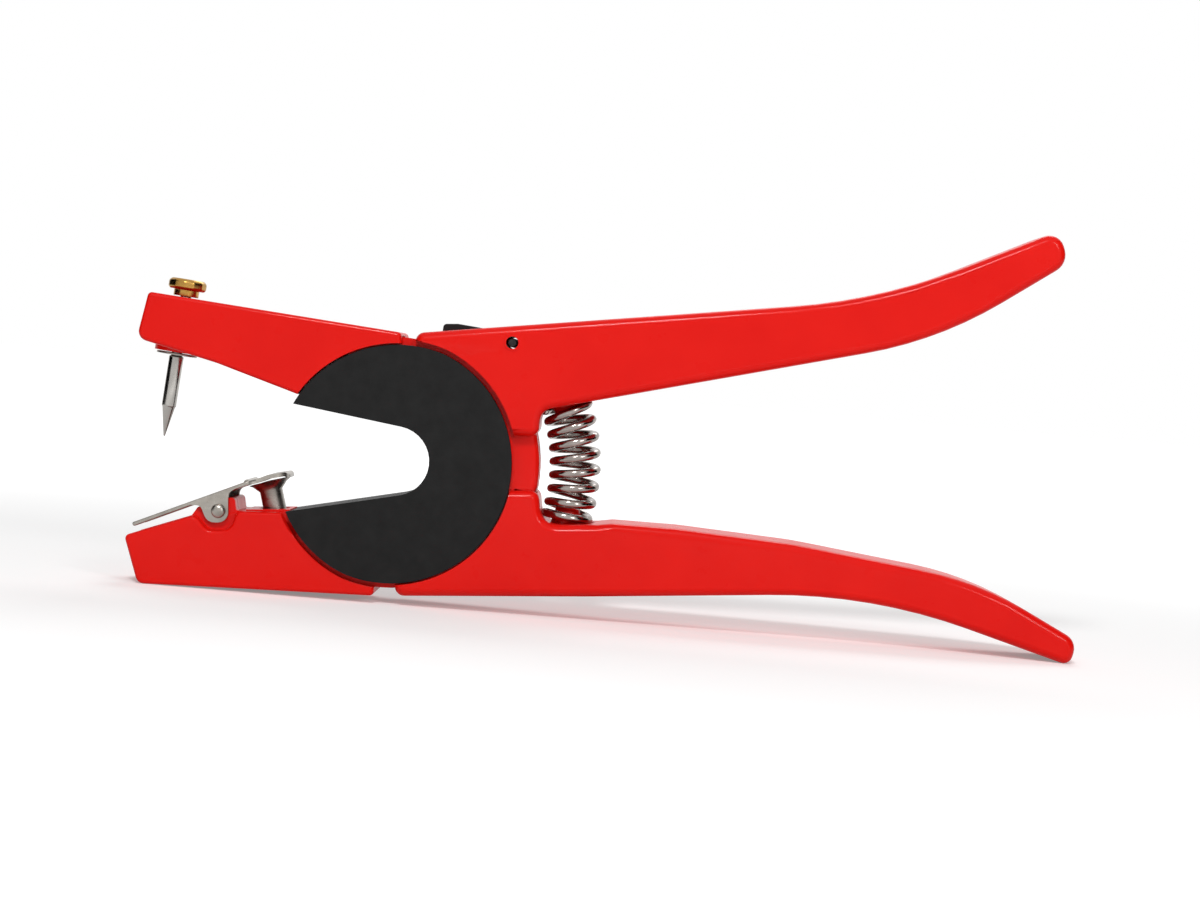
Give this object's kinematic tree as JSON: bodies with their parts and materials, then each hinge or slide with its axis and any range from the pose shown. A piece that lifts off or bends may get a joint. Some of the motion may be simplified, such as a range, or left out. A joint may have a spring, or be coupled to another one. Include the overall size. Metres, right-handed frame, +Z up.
{
  "type": "ear tag applicator",
  "caption": "Hand pliers for ear tags: two crossed castings, a round throat for the ear, a pin above, a sprung tag clip below and a return spring between the handles.",
  "frame": {"origin": "under the middle of the whole tool, on the level it stands on", "axes": "+X from the jaws to the handles, +Y to the rear, where the throat screws' heads are, +Z up"},
  "size_m": [0.2538, 0.0226, 0.1123],
  "materials": {
    "red_paint": "gloss red paint on a casting",
    "black_nylon": "satin black moulded nylon",
    "stainless_steel": "satin stainless steel",
    "spring_steel": "bright spring wire",
    "brass": "plain brass",
    "blackened_steel": "blackened steel"
  },
  "bodies": {
    "frame_body": {"lower_jaw_casting": "red_paint", "front_throat_plate": "black_nylon", "rear_throat_plate": "black_nylon", "throat_screw_1": "stainless_steel", "throat_screw_2": "stainless_steel", "throat_screw_3": "stainless_steel", "throat_screw_4": "stainless_steel", "throat_screw_5": "stainless_steel", "clip_rivet": "stainless_steel", "latch_pin": "blackened_steel", "return_spring": "spring_steel", "clip_spring": "spring_steel", "latch_spring": "spring_steel"},
    "jaw_body": {"upper_jaw_casting": "red_paint", "applicator_pin": "stainless_steel", "pin_washer": "stainless_steel", "pin_lock_nut": "brass"},
    "clip_body": {"clip_plate": "stainless_steel", "clip_post": "stainless_steel"},
    "latch_body": {"latch_lever": "black_nylon"}
  },
  "joints": [
    {"name": "jaw_close", "type": "hinge", "parent": "frame_body", "child": "jaw_body", "pos_m": [-0.05768, 0, 0.03759], "axis": [0, -1, 0], "range_deg": [0, 18], "stiffness_Nm_per_rad": 12, "springref_deg": -6.88, "deforming": ["return_spring"]},
    {"name": "clip_press", "type": "hinge", "parent": "frame_body", "child": "clip_body", "pos_m": [-0.10221, 0, 0.02089], "axis": [0, 1, 0], "range_deg": [0, 10], "stiffness_Nm_per_rad": 0.6, "springref_deg": -11.46, "deforming": ["clip_spring"]},
    {"name": "latch_press", "type": "hinge", "parent": "frame_body", "child": "latch_body", "pos_m": [-0.02828, 0, 0.07196], "axis": [0, -1, 0], "range_deg": [0, 5], "stiffness_Nm_per_rad": 0.05, "springref_deg": -17.19, "deforming": ["latch_spring"]}
  ]
}
